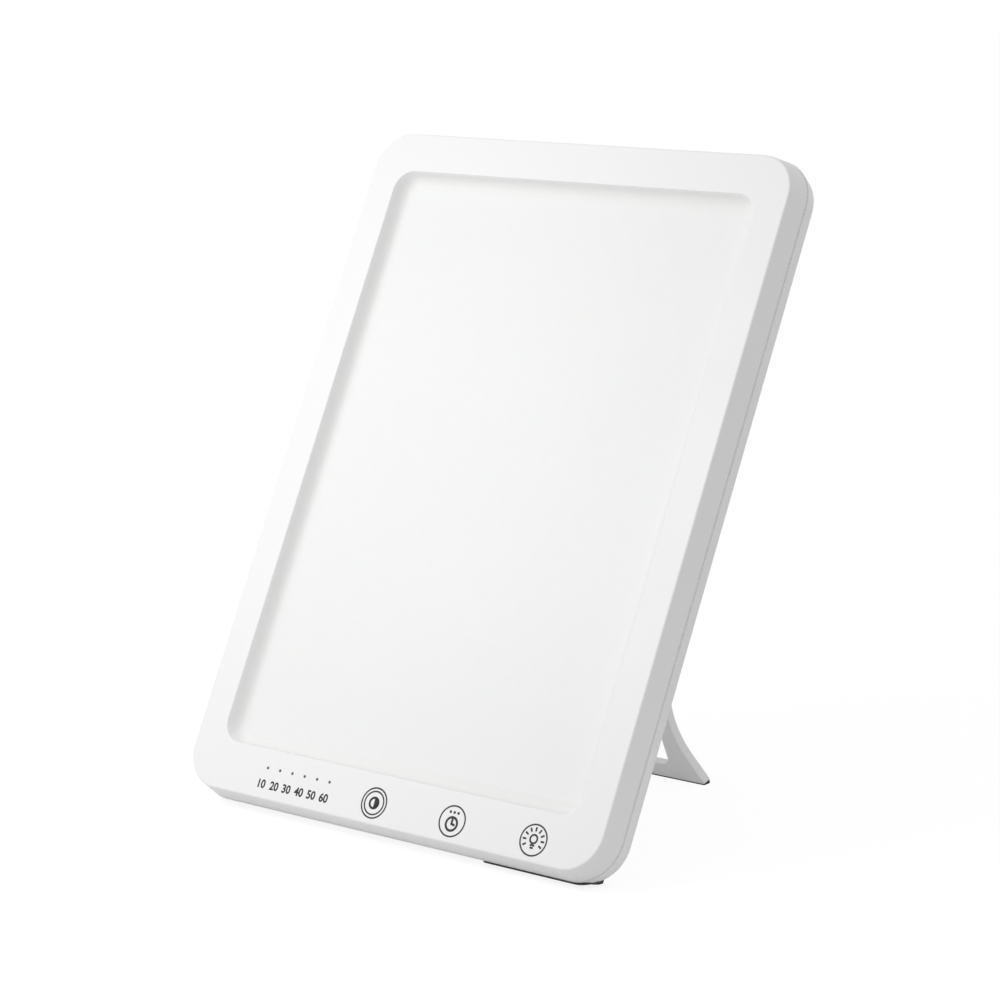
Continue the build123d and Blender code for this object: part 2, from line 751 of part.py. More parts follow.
pieces = {
    "front_bezel": front_bezel,
    "window_gasket": window_gasket,
    "diffuser": diffuser,
    "diffusing_film": diffusing_film,
    "light_guide": light_guide,
    "reflector_sheet": reflector_sheet,
    "back_plate": back_plate,
    "led_strip_right": led_strip_right,
    "led_strip_left": led_strip_left,
    "led_chips_right": led_chips_right,
    "led_chips_left": led_chips_left,
    "control_board": control_board,
    "touch_pads": touch_pads,
    "indicator_leds": indicator_leds,
    "light_pipe_comb": light_pipe_comb,
    "board_connectors": board_connectors,
    "driver_coil": driver_coil,
    "driver_capacitor": driver_capacitor,
    "driver_chips": driver_chips,
    "board_screws": board_screws,
    "inlet_shell": inlet_shell,
    "inlet_tongue": inlet_tongue,
    "inlet_board": inlet_board,
    "inlet_flex": inlet_flex,
    "rear_cover": rear_cover,
    "cover_screws": cover_screws,
    "base_pad_right": base_pad_right,
    "base_pad_left": base_pad_left,
    "kickstand": kickstand,
    "foot_strip": foot_strip,
    "hinge_pins": hinge_pins,
    "hinge_washers": hinge_washers,
}

os.makedirs("parts", exist_ok=True)
for name, piece in pieces.items():
    piece.part.label = name
    export_step(piece.part, f"parts/{name}.step")
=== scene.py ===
import json
import math

import bmesh
import bpy
from mathutils import Matrix, Vector


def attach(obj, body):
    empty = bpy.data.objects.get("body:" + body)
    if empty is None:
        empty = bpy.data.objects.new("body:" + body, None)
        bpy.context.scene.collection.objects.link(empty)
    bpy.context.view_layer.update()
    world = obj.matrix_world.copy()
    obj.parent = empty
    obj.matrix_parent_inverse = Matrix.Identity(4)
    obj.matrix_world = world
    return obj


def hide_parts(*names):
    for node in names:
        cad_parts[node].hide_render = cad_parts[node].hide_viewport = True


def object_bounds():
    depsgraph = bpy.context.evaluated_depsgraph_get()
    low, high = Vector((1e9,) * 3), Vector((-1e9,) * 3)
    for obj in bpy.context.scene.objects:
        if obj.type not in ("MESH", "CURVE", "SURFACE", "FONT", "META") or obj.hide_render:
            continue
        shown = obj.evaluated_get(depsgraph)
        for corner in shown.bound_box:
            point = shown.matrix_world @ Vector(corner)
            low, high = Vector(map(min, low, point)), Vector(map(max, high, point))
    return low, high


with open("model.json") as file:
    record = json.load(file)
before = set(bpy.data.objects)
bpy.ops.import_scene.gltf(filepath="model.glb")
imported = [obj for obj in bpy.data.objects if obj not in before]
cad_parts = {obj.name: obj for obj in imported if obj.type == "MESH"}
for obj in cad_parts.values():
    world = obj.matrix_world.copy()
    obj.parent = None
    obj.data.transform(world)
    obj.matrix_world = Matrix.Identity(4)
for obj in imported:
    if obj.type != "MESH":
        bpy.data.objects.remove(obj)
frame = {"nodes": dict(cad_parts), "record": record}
cad_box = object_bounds()

bl_info = {
    "name": "Light Therapy Lamp",
    "version": (1, 0, 0),
    "blender": (4, 5, 0),
    "location": "3D View > Sidebar > Lamp",
    "description": "Finishes and details of a tablet-shaped light therapy lamp",
    "category": "Object",
}

MM = 0.001
WELD = 0.002 * MM           # vertices of a solid that lie closer are one
PRINT_WELD = 0.0005 * MM    # the same in the finer outlines of the print
SORT_PLACES = 5             # decimal places of a metre that order the solids in a row
CORNER_FACETS = 12          # of a gasket's rounded corner
SYMBOL_FACETS = 64          # of a ring in a symbol
RENDER_SIDE = 1000          # pixels, both ways
RIGHT = Vector((1, 0, 0))


# ---- The leaning panel's own directions, read from the frame -----------------------------------

def broadest_direction(node):
    """Where the largest triangles of a flat node face, turned towards the back."""
    largest = max(frame["nodes"][node].data.polygons, key=lambda face: face.area)
    direction = Vector(largest.normal)
    return direction if direction.y > 0 else -direction


BACK = broadest_direction("diffuser")
DOWN = BACK.cross(RIGHT)
PANEL = Matrix((RIGHT, DOWN, BACK)).transposed()
TO_PANEL = PANEL.transposed()


def box_of(points):
    """Lowest and highest corner of the box round some points."""
    low = Vector([min(point[axis] for point in points) for axis in range(3)])
    high = Vector([max(point[axis] for point in points) for axis in range(3)])
    return low, high


def panel_box(points):
    """Lowest and highest (across, down, back) of some points, in the panel's directions."""
    return box_of([TO_PANEL @ point for point in points])


def node_box(node):
    """A CAD node's box in the panel's directions."""
    return panel_box([vertex.co for vertex in frame["nodes"][node].data.vertices])


def solid_boxes(node):
    """Panel boxes of a node's separate solids, from left to right."""
    shape = bmesh.new()
    shape.from_mesh(frame["nodes"][node].data)
    bmesh.ops.remove_doubles(shape, verts=shape.verts, dist=WELD)
    unseen = set(shape.verts)
    boxes = []
    while unseen:
        reached = [unseen.pop()]
        for vertex in reached:
            for edge in vertex.link_edges:
                other = edge.other_vert(vertex)
                if other in unseen:
                    unseen.remove(other)
                    reached.append(other)
        boxes.append(panel_box([vertex.co for vertex in reached]))
    shape.free()
    return sorted(boxes, key=lambda box: (round(box[0].x, SORT_PLACES), box[0].y))


def middle(box):
    """Centre of a box."""
    return (box[0] + box[1]) / 2


FACE_DEPTH = node_box("front_bezel")[0].z


def on_face(across, down):
    """Stands a flat drawing (x right, y up, z out) on the panel's front face."""
    facing = Matrix((RIGHT, -DOWN, -BACK)).transposed().to_4x4()
    return Matrix.Translation(PANEL @ Vector((across, down, FACE_DEPTH))) @ facing


# ---- Settings that a user would change ---------------------------------------------------------

def linear(colour):
    """An sRGB hex colour as linear RGBA."""
    parts = [int(colour[start:start + 2], 16) / 255 for start in (1, 3, 5)]
    return [part / 12.92 if part <= 0.04045 else ((part + 0.055) / 1.055) ** 2.4
            for part in parts] + [1.0]


def length(name, description, millimetres):
    """A length property with its default in millimetres."""
    return bpy.props.FloatProperty(
        name=name, description=description, default=millimetres * MM, unit="LENGTH",
        precision=5,
    )


def tint(name, description, colour):
    """A colour property with its default as an sRGB hex value."""
    return bpy.props.FloatVectorProperty(
        name=name, description=description, default=linear(colour), size=4, subtype="COLOR",
        min=0, max=1,
    )


def turn(name, description, degrees):
    """An angle property with its default in degrees."""
    return bpy.props.FloatProperty(
        name=name, description=description, default=math.radians(degrees), subtype="ANGLE",
    )


class LampSizes(bpy.types.PropertyGroup):
    """Sizes of what is printed or fitted on the CAD pieces."""

    ink: length("Ink", "Thickness of the printed ink", 0.02)
    number_height: length("Number height", "Height of the printed timer numbers", 2.9)
    number_drop: length("Number drop", "Indicator dot to the middle of its number", 5.75)
    number_shift: length("Number shift", "How far the numbers sit left of their dots", 0.6)
    number_squeeze: bpy.props.FloatProperty(
        name="Number squeeze", description="Width of the numbers against their normal width",
        default=0.94, subtype="FACTOR",
    )
    number_weight: length("Number weight", "How far the number strokes are thickened", 0.13)
    ring_radius: length("Ring radius", "Outside of the printed ring round a touch key", 5.5)
    ring_line: length("Ring line", "Line width of the printed rings", 0.56)
    inner_ring_radius: length("Inner ring radius", "Outside of the inner ring", 4.3)
    symbol_line: length("Symbol line", "Line width of the symbols in the rings", 0.85)
    recess_span: length("Recess span", "Span of the cross recess in a screw head", 2.5)
    recess_width: length("Recess width", "Width of the cross recess's arms", 0.55)
    recess_depth: length("Recess depth", "Depth of the cross recess", 0.8)
    gasket_width: length("Gasket width", "Width of the gasket behind the window wall", 1.8)
    gasket_radius: length("Gasket radius", "Outer corner radius of the gasket", 8.19)
    lip_height: length("Lip height", "How far the gasket's lip climbs the window wall", 4.2)
    lip_reach: length("Lip reach", "How far the gasket's lip reaches over the screen", 3.8)
    window_slope: turn("Window slope", "How far the window wall leans in", 11)
    contact_pitch: length("Contact pitch", "Contact to contact on the inlet's tongue", 0.5)
    contact_width: length("Contact width", "Width of one contact", 0.28)


class LampColours(bpy.types.PropertyGroup):
    """Base colours of the finishes that show most."""

    housing: tint("Housing", "White ABS of the front frame, rear cover and stand", "#f3f3f3")
    screen: tint("Screen", "Opal polystyrene of the diffuser", "#f1f1f1")
    ink: tint("Ink", "Black pad-printing ink", "#161618")
    dots: tint("Dots", "Smoked acrylic of the light-pipe ends", "#5c5d5f")
    # also the colour of the right pad's wedge, whose dark line is partly painted contact shadow
    silicone: tint("Silicone", "Grey silicone of the pads and the foot strip", "#3a3b3d")


class StageSettings(bpy.types.PropertyGroup):
    """Camera, floor and lights."""

    camera_place: bpy.props.FloatVectorProperty(
        name="Camera place", description="Camera from the table under the middle of the lamp",
        default=(647.76 * MM, -832.16 * MM, 314.68 * MM), size=3, subtype="TRANSLATION",
    )
    heading: turn("Heading", "Camera's turn to the left of the back direction", 38.352)
    pitch: turn("Pitch", "How far the camera looks down", 11.433)
    lens: bpy.props.FloatProperty(
        name="Lens", description="Focal length", default=111.1, unit="CAMERA",
    )
    axis_pixel: bpy.props.FloatVectorProperty(
        name="Axis pixel", description="Where the lens axis meets the frame, in pixels",
        default=(477.55, 523.91), size=2,
    )
    reach: length("Reach", "How far the camera sees", 20000)
    floor_size: length("Floor size", "Side of the floor", 12000)
    surround: bpy.props.FloatProperty(
        name="Surround", description="Strength of the light from all round", default=0.625,
    )
    key_power: bpy.props.FloatProperty(
        name="Key power", description="Power of the soft lamp", default=0.845, unit="POWER",
    )
    key_size: length("Key size", "Side of the soft lamp", 250)
    key_offset: bpy.props.FloatVectorProperty(
        name="Key offset", description="Soft lamp from the middle of the object",
        default=(-0.175, -0.328, 0.254), size=3, subtype="TRANSLATION",
    )


# ---- Materials ---------------------------------------------------------------------------------

def add_node(tree, kind, inputs=None, **settings):
    """Add a node with its settings; an input is a value or another node's output socket."""
    node = tree.nodes.new(kind)
    for name, value in settings.items():
        setattr(node, name, value)
    for name, value in (inputs or {}).items():
        if isinstance(value, bpy.types.NodeSocket):
            tree.links.new(value, node.inputs[name])
        else:
            node.inputs[name].default_value = value
    return node


# Sockets by their place: a Mix node's colours, and a Random Value node's float
COLOUR_A, COLOUR_B, COLOUR_MIX = 6, 7, 2
RANDOM_FLOAT = 1


def new_tree(name):
    """An empty material and its node tree."""
    material = bpy.data.materials.new(name)
    material.use_nodes = True
    material.node_tree.nodes.clear()
    return material, material.node_tree


def finish(name, colour, roughness, grain, depth, mottle=0.02, polish=0.04, drift=30 * MM,
           **surface):
    """A finish whose grain and slow unevenness have real sizes, in metres.

    grain is one grain's size and depth its height. mottle is how much the colour drifts and
    polish how much the roughness does, over the length drift.
    """
    material, tree = new_tree(name)
    place = add_node(tree, "ShaderNodeTexCoord").outputs["Object"]
    fine = add_node(tree, "ShaderNodeTexNoise", {
        "Vector": place, "Scale": 1 / grain, "Detail": 3.0, "Roughness": 0.6,
    })
    slow = add_node(tree, "ShaderNodeTexNoise", {
        "Vector": place, "Scale": 1 / drift, "Detail": 2.0, "Roughness": 0.5,
    })
    darker = [part * (1 - mottle) for part in colour[:3]] + [1.0]
    shade = add_node(tree, "ShaderNodeMix", {
        "Factor": slow.outputs["Fac"], COLOUR_A: list(colour), COLOUR_B: darker,
    }, data_type="RGBA")
    gloss = add_node(tree, "ShaderNodeMapRange", {
        "Value": slow.outputs["Fac"], "To Min": roughness - polish, "To Max": roughness + polish,
    })
    bump = add_node(tree, "ShaderNodeBump", {
        "Height": fine.outputs["Fac"], "Distance": depth, "Strength": 1.0,
    })
    shader = add_node(tree, "ShaderNodeBsdfPrincipled", {
        "Base Color": shade.outputs[COLOUR_MIX], "Roughness": gloss.outputs["Result"],
        "Normal": bump.outputs["Normal"], **surface,
    })
    add_node(tree, "ShaderNodeOutputMaterial", {"Surface": shader.outputs["BSDF"]})
    return material


def moulded_white_abs():
    """White ABS from a spark-eroded mould: soft highlights and a barely visible tooth.

    The real tooth is about 0.1 mm; it is drawn at 0.5 mm so that it shows.
    """
    return finish("moulded_white_abs", bpy.context.scene.lamp_colours.housing, roughness=0.46,
                  grain=0.5 * MM, depth=0.006 * MM, mottle=0.012, IOR=1.53)


def opal_polystyrene():
    """Opal polystyrene sheet, satin on the outside: milky, with a wide faint sheen.

    A little light goes into the sheet, which evens out its shading.
    """
    return finish("opal_polystyrene", bpy.context.scene.lamp_colours.screen, roughness=0.48,
                  grain=0.8 * MM, depth=0.003 * MM, mottle=0.008, drift=60 * MM, IOR=1.53,
                  **{"Subsurface Weight": 0.1, "Subsurface Scale": 1.0 * MM})


def pad_printing_ink():
    """Black pad-printing ink: nearly matt, with slight pinholes in the film."""
    return finish("pad_printing_ink", bpy.context.scene.lamp_colours.ink, roughness=0.52,
                  grain=0.25 * MM, depth=0.004 * MM, mottle=0.25, drift=0.8 * MM)


def smoked_acrylic():
    """Polished smoked acrylic of the light-pipe ends: mid grey with a clear gloss."""
    return finish("smoked_acrylic", bpy.context.scene.lamp_colours.dots, roughness=0.12,
                  grain=1.0 * MM, depth=0.001 * MM, mottle=0.1, polish=0.03, drift=2 * MM,
                  IOR=1.49, **{"Coat Weight": 0.5})


def moulded_silicone():
    """Moulded silicone: dull, with a fine open grain that holds dust."""
    return finish("moulded_silicone", bpy.context.scene.lamp_colours.silicone, roughness=0.78,
                  grain=0.4 * MM, depth=0.02 * MM, mottle=0.18, drift=8 * MM, IOR=1.41)


def closed_cell_foam():
    """Closed-cell foam with a moulded skin: off-white and dull, slightly uneven."""
    return finish("closed_cell_foam", linear("#f1f1f0"), roughness=0.7, grain=0.35 * MM,
                  depth=0.004 * MM, mottle=0.01, drift=3 * MM)


def diffusing_film():
    """Polyester diffusing film: white with a pearly haze from its beads.

    The real beads are about 0.02 mm; they are drawn at 0.2 mm so that they show.
    """
    return finish("diffusing_film_polyester", linear("#eef0f0"), roughness=0.3, grain=0.2 * MM,
                  depth=0.01 * MM, IOR=1.6, **{"Sheen Weight": 0.2})


def cast_acrylic():
    """Clear cast acrylic, flame-polished: glassy, with a faint green-blue edge."""
    return finish("cast_acrylic", linear("#e8f0f0"), roughness=0.06, grain=3 * MM,
                  depth=0.001 * MM, mottle=0.01, polish=0.02, IOR=1.49,
                  **{"Transmission Weight": 0.9})


def white_reflector_film():
    """Foamed white reflector film: bright and chalky.

    The real voids are about 0.01 mm; they are drawn at 0.3 mm so that they show.
    """
    return finish("white_reflector_film", linear("#fafafa"), roughness=0.7, grain=0.3 * MM,
                  depth=0.01 * MM, mottle=0.01)


def rolled_aluminium():
    """Mill-finish aluminium sheet: bright, with a slight drift in its gloss from rolling."""
    return finish("rolled_aluminium", linear("#c9cbcd"), roughness=0.34, grain=0.6 * MM,
                  depth=0.004 * MM, mottle=0.06, polish=0.1, drift=12 * MM, Metallic=1.0)


def solder_mask():
    """White solder mask over laminate: glossy, with the weave's faint ripple."""
    return finish("solder_mask", linear("#e6eae4"), roughness=0.3, grain=0.7 * MM,
                  depth=0.012 * MM, mottle=0.04, drift=3 * MM, **{"Coat Weight": 0.4})


def led_phosphor():
    """Silicone and phosphor over a white LED: warm yellow and satin.

    The real grains are about 0.02 mm; they are drawn at 0.2 mm so that they show.
    """
    return finish("led_phosphor", linear("#e9d98a"), roughness=0.35, grain=0.2 * MM,
                  depth=0.01 * MM, mottle=0.08, drift=1 * MM, IOR=1.45)


def conductive_foam():
    """Conductive foam under the touch keys: charcoal with open cells."""
    return finish("conductive_foam", linear("#3b3b3d"), roughness=0.88, grain=0.5 * MM,
                  depth=0.12 * MM, mottle=0.3, drift=2 * MM)


def black_nylon():
    """Moulded black nylon with glass fibre: matt, with a cloudy skin."""
    return finish("black_nylon", linear("#1f2022"), roughness=0.5, grain=0.3 * MM,
                  depth=0.01 * MM, mottle=0.2, drift=3 * MM)


def sintered_ferrite():
    """Sintered ferrite round a coil: dark grey, powdery and slightly pitted.

    The real grains are about 0.02 mm; they are drawn at 0.3 mm so that they show.
    """
    return finish("sintered_ferrite", linear("#3f4144"), roughness=0.62, grain=0.3 * MM,
                  depth=0.03 * MM, mottle=0.2, drift=2 * MM)


def drawn_aluminium_can():
    """Drawn aluminium can of a capacitor: bright, smooth metal."""
    return finish("drawn_aluminium_can", linear("#c4c8cc"), roughness=0.28, grain=0.4 * MM,
                  depth=0.003 * MM, mottle=0.05, polish=0.06, drift=2 * MM, Metallic=1.0)


def zinc_plated_steel():
    """Zinc-plated steel screws: bluish grey with a cloudy lustre."""
    return finish("zinc_plated_steel", linear("#b4b9be"), roughness=0.36, grain=0.25 * MM,
                  depth=0.006 * MM, mottle=0.12, polish=0.1, drift=1.5 * MM, Metallic=1.0)


def nickel_plated_steel():
    """Nickel-plated steel of the inlet's shell: warm, even and bright."""
    return finish("nickel_plated_steel", linear("#cfccc4"), roughness=0.24, grain=0.4 * MM,
                  depth=0.003 * MM, mottle=0.05, polish=0.05, drift=3 * MM, Metallic=1.0)


def gold_plated_contact():
    """Gold flash over nickel on the contacts: yellow and mirror-like."""
    return finish("gold_plated_contact", linear("#e2b85c"), roughness=0.18, grain=0.3 * MM,
                  depth=0.001 * MM, mottle=0.04, polish=0.04, drift=1 * MM, Metallic=1.0)


def polyimide_flex():
    """Polyimide flex: amber and glossy, with the copper's faint relief."""
    return finish("polyimide_flex", linear("#c27f2c"), roughness=0.25, grain=0.6 * MM,
                  depth=0.006 * MM, mottle=0.12, drift=2 * MM, IOR=1.7)


def ground_steel():
    """Ground steel of the hinge pins and washers: grey metal with a fine lay.

    The real lay is about 0.03 mm; it is drawn at 0.15 mm so that it shows.
    """
    return finish("ground_steel", linear("#a9adb1"), roughness=0.3, grain=0.15 * MM,
                  depth=0.004 * MM, mottle=0.08, polish=0.06, drift=2 * MM, Metallic=1.0)


SLOT_FINISHES = {
    "white_abs": moulded_white_abs,
    "foam": closed_cell_foam,
    "opal_sheet": opal_polystyrene,
    "film": diffusing_film,
    "clear_acrylic": cast_acrylic,
    "reflector_film": white_reflector_film,
    "aluminium_sheet": rolled_aluminium,
    "circuit_board": solder_mask,
    "led_package": led_phosphor,
    "conductive_foam": conductive_foam,
    "black_nylon": black_nylon,
    "coil_ferrite": sintered_ferrite,
    "capacitor_can": drawn_aluminium_can,
    "screw_steel": zinc_plated_steel,
    "inlet_steel": nickel_plated_steel,
    "flex_film": polyimide_flex,
    "grey_silicone": moulded_silicone,
    "pin_steel": ground_steel,
}
material_of = {}


def material_from(maker):
    """The material that a maker function gives, made the first time it is asked for."""
    if maker not in material_of:
        material_of[maker] = maker()
    return material_of[maker]


def dress(node, maker):
    """Give a CAD node its finish."""
    slots = frame["nodes"][node].data.materials
    slots.clear()
    slots.append(material_from(maker))


# ---- Closed shapes and the pieces made of them -------------------------------------------------

def skin(shape, rings, closed=False):
    """Faces from each ring of vertices to the next, and from the last to the first if closed.

    A ring of one vertex draws the skin together in a point.
    """
    following = rings[1:] + rings[:1] if closed else rings[1:]
    for lower, upper in zip(rings, following):
        for i in range(max(len(lower), len(upper))):
            corners = [lower[i % len(lower)], lower[(i + 1) % len(lower)],
                       upper[(i + 1) % len(upper)], upper[i % len(upper)]]
            shape.faces.new(list(dict.fromkeys(corners)))


def block(shape, floor_outline, floor_height, roof_outline, roof_height):
    """A closed block between two outlines that run anticlockwise, with as many points each."""
    floor = [shape.verts.new((x, y, floor_height)) for x, y in floor_outline]
    roof = [shape.verts.new((x, y, roof_height)) for x, y in roof_outline]
    shape.faces.new(reversed(floor))
    shape.faces.new(roof)
    skin(shape, [floor, roof])


def prism(shape, outline, height):
    """A closed prism that stands on z 0."""
    block(shape, outline, 0, outline, height)


def arc_points(centre, radius, start, end, count):
    """Points along an arc, both ends included; angles in degrees."""
    steps = [math.radians(start + (end - start) * i / (count - 1)) for i in range(count)]
    return [(centre[0] + radius * math.cos(a), centre[1] + radius * math.sin(a)) for a in steps]


def circle_points(centre, radius, count):
    """Points round a circle."""
    return arc_points(centre, radius, 0, 360 * (count - 1) / count, count)


def disc(shape, centre, radius, height, count=20):
    """A closed disc."""
    prism(shape, circle_points(centre, radius, count), height)


def half_disc(shape, centre, radius, start, height, count=24):
    """A closed half disc whose arc begins at the angle start."""
    prism(shape, arc_points(centre, radius, start, start + 180, count), height)


def ring(shape, centre, outside, line, height, count=96):
    """A closed flat ring."""
    inside = outside - line
    rims = [[shape.verts.new((x, y, z)) for x, y in circle_points(centre, radius, count)]
            for radius, z in ((outside, 0), (outside, height), (inside, height), (inside, 0))]
    skin(shape, rims, closed=True)


def stroke(shape, start, end, line, height, count=9):
    """A closed stroke with round ends."""
    heading = math.degrees(math.atan2(end[1] - start[1], end[0] - start[0]))
    outline = (arc_points(end, line / 2, heading - 90, heading + 90, count)
               + arc_points(start, line / 2, heading + 90, heading + 270, count))
    prism(shape, outline, height)


def mesh_of(name, draw):
    """A mesh that a drawing function fills, with its faces turned outwards."""
    shape = bmesh.new()
    draw(shape)
    bmesh.ops.recalc_face_normals(shape, faces=shape.faces)
    mesh = bpy.data.meshes.new(name)
    shape.to_mesh(mesh)
    shape.free()
    return mesh


def joined(name, meshes):
    """One mesh out of several."""
    shape = bmesh.new()
    for mesh in meshes:
        shape.from_mesh(mesh)
    whole = bpy.data.meshes.new(name)
    shape.to_mesh(whole)
    shape.free()
    return whole


def add_object(name, data):
    """A new object in the scene."""
    added = bpy.data.objects.new(name, data)
    bpy.context.scene.collection.objects.link(added)
    return added


def evaluated_mesh(holder):
    """The plain mesh that an object's writing or modifiers come to."""
    bpy.context.view_layer.update()
    ready = holder.evaluated_get(bpy.context.evaluated_depsgraph_get())
    return bpy.data.meshes.new_from_object(ready)


def place_piece(name, mesh, body, maker):
    """Put a finished mesh in the scene as a piece that rides on a body."""
    mesh.materials.clear()
    mesh.materials.append(material_from(maker))
    piece = add_object(name, mesh)
    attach(piece, body)
    return piece


# ---- Geometry nodes: copies in a row or fan, and copies on points ------------------------------

def geometry_tree(name, sockets):
    """A tree with a geometry input and output and the named inputs; gives tree and its input."""
    tree = bpy.data.node_groups.new(name, "GeometryNodeTree")
    tree.interface.new_socket("Geometry", in_out="INPUT", socket_type="NodeSocketGeometry")
    for label, kind in sockets.items():
        tree.interface.new_socket(label, in_out="INPUT", socket_type=kind)
    tree.interface.new_socket("Geometry", in_out="OUTPUT", socket_type="NodeSocketGeometry")
    return tree, add_node(tree, "NodeGroupInput")


def place_copies(tree, given, points, angle):
    """End a tree: Shape on each point, turned by angle, made real and given its material."""
    shape = add_node(tree, "GeometryNodeObjectInfo", {"Object": given.outputs["Shape"]})
    about = add_node(tree, "ShaderNodeCombineXYZ", {"Z": angle})
    copies = add_node(tree, "GeometryNodeInstanceOnPoints", {
        "Points": points, "Instance": shape.outputs["Geometry"],
        "Rotation": about.outputs["Vector"],
    })
    real = add_node(tree, "GeometryNodeRealizeInstances", {
        "Geometry": copies.outputs["Instances"],
    })
    painted = add_node(tree, "GeometryNodeSetMaterial", {
        "Geometry": real.outputs["Geometry"], "Material": given.outputs["Material"],
    })
    add_node(tree, "NodeGroupOutput", {"Geometry": painted.outputs["Geometry"]})


def repeat_tree():
    """Copies of a shape, each moved by Step and turned by Turn from the one before."""
    tree, given = geometry_tree("repeat", {
        "Shape": "NodeSocketObject", "Count": "NodeSocketInt", "Step": "NodeSocketVector",
        "Turn": "NodeSocketFloat", "Material": "NodeSocketMaterial",
    })
    line = add_node(tree, "GeometryNodeMeshLine", {
        "Count": given.outputs["Count"], "Offset": given.outputs["Step"],
    }, mode="OFFSET")
    order = add_node(tree, "GeometryNodeInputIndex")
    turned = add_node(tree, "ShaderNodeMath", {
        0: order.outputs["Index"], 1: given.outputs["Turn"],
    }, operation="MULTIPLY")
    place_copies(tree, given, line.outputs["Mesh"], turned.outputs["Value"])
    return tree


def scatter_tree():
    """A copy of a shape on each vertex, turned at random about its own axis."""
    tree, given = geometry_tree("scatter", {
        "Shape": "NodeSocketObject", "Seed": "NodeSocketInt", "Material": "NodeSocketMaterial",
    })
    chance = add_node(tree, "FunctionNodeRandomValue", {
        "Seed": given.outputs["Seed"],
    }, data_type="FLOAT")
    turned = add_node(tree, "ShaderNodeMath", {
        0: chance.outputs[RANDOM_FLOAT], 1: math.tau,
    }, operation="MULTIPLY")
    place_copies(tree, given, given.outputs["Geometry"], turned.outputs["Value"])
    return tree


def grown(name, seed_mesh, tree, values):
    """Run a geometry tree on a mesh and give the plain mesh that comes out."""
    carrier = add_object(name, seed_mesh)
    modifier = carrier.modifiers.new(name, "NODES")
    modifier.node_group = tree
    sockets = {item.name: item.identifier for item in tree.interface.items_tree
               if item.in_out == "INPUT"}
    for label, value in values.items():
        modifier[sockets[label]] = value
    mesh = evaluated_mesh(carrier)
    carrier.modifiers.remove(modifier)
    bpy.data.objects.remove(carrier)
    if not mesh.polygons:
        raise RuntimeError(f"the tree for {name} made nothing")
    return mesh


def repeated(name, draw, count, maker, step=(0, 0, 0), turn_by=0.0):
    """Copies of a drawn shape in a row or a fan, as one plain mesh."""
    held = add_object(name + "_shape", mesh_of(name + "_shape", draw))
    mesh = grown(name, bpy.data.meshes.new(name + "_seed"), repeat_tree(), {
        "Shape": held, "Count": count, "Step": step, "Turn": turn_by,
        "Material": material_from(maker),
    })
    bpy.data.objects.remove(held)
    return mesh


# ---- The printed marks -------------------------------------------------------------------------

def number_mesh(text, sizes):
    """A printed number as a closed mesh, centred on its own origin."""
    curve = bpy.data.curves.new("number", "FONT")
    curve.body = text
    curve.size = 1.0
    curve.resolution_u = 6
    writing = add_object("number", curve)
    bpy.context.view_layer.update()
    scale = sizes.number_height / writing.dimensions.y
    curve.offset = sizes.number_weight / scale
    curve.extrude = sizes.ink / 2 / scale
    mesh = evaluated_mesh(writing)
    bpy.data.objects.remove(writing)
    mesh.transform(Matrix.Diagonal((scale * sizes.number_squeeze, scale, scale, 1)))
    shape = bmesh.new()
    shape.from_mesh(mesh)
    bmesh.ops.remove_doubles(shape, verts=shape.verts, dist=PRINT_WELD)
    bmesh.ops.recalc_face_normals(shape, faces=shape.faces)
    low, high = box_of([vertex.co for vertex in shape.verts])
    centre = middle((low, high))
    bmesh.ops.translate(shape, verts=shape.verts, vec=(-centre.x, -centre.y, -low.z))
    shape.to_mesh(mesh)
    shape.free()
    return mesh


class LAMP_OT_timer_numbers(bpy.types.Operator):
    """Print the minutes 10 to 60 under the six indicator dots"""

    bl_idname = "lamp.timer_numbers"
    bl_label = "Timer Numbers"

    dots: bpy.props.IntProperty(name="Dots", description="Indicator dots", default=6)
    minutes: bpy.props.IntProperty(
        name="Minutes", description="Minutes from one number to the next", default=10)

    def execute(self, context):
        sizes = context.scene.lamp_sizes
        numbers = []
        for order, box in enumerate(solid_boxes("indicator_leds"), start=1):
            mesh = number_mesh(str(self.minutes * order), sizes)
            spot = middle(box)
            mesh.transform(on_face(spot.x - sizes.number_shift, spot.y + sizes.number_drop))
            numbers.append(mesh)
        if len(numbers) != self.dots:
            raise RuntimeError(f"the frame has {len(numbers)} indicators, not {self.dots}")
        place_piece("timer_numbers", joined("timer_numbers", numbers), "panel",
                    pad_printing_ink)
        return {"FINISHED"}


def level_symbol(sizes):
    """A disc with one half filled, in a second ring: the brightness key."""
    line = sizes.symbol_line
    radius = 2.25 * MM
    right_half = -90        # degrees, where its arc begins

    def draw(shape):
        ring(shape, (0, 0), sizes.inner_ring_radius, sizes.ring_line, sizes.ink)
        ring(shape, (0, 0), radius, line, sizes.ink, count=SYMBOL_FACETS)
        half_disc(shape, (0, 0), radius - line / 2, right_half, sizes.ink)

    return [mesh_of("level_symbol", draw)]


def timer_symbol(sizes):
    """A clock face with two hands under three dots: the timer key."""
    line = sizes.symbol_line
    radius = 2.7 * MM
    centre = (0, -0.95 * MM)
    hands = ((0, 1.5 * MM), (1.05 * MM, -0.2 * MM))     # their tips from the centre
    dot_count, dot_radius, dot_pitch, dot_rise = 3, 0.5 * MM, 1.65 * MM, 3.0 * MM

    def draw(shape):
        ring(shape, centre, radius, line, sizes.ink, count=SYMBOL_FACETS)
        for across, up in hands:
            stroke(shape, centre, (centre[0] + across, centre[1] + up), line, sizes.ink)

    def dot(shape):
        disc(shape, (-dot_pitch, dot_rise), dot_radius, sizes.ink)

    dots = repeated("timer_dots", dot, dot_count, pad_printing_ink, step=(dot_pitch, 0, 0))
    return [mesh_of("timer_symbol", draw), dots]


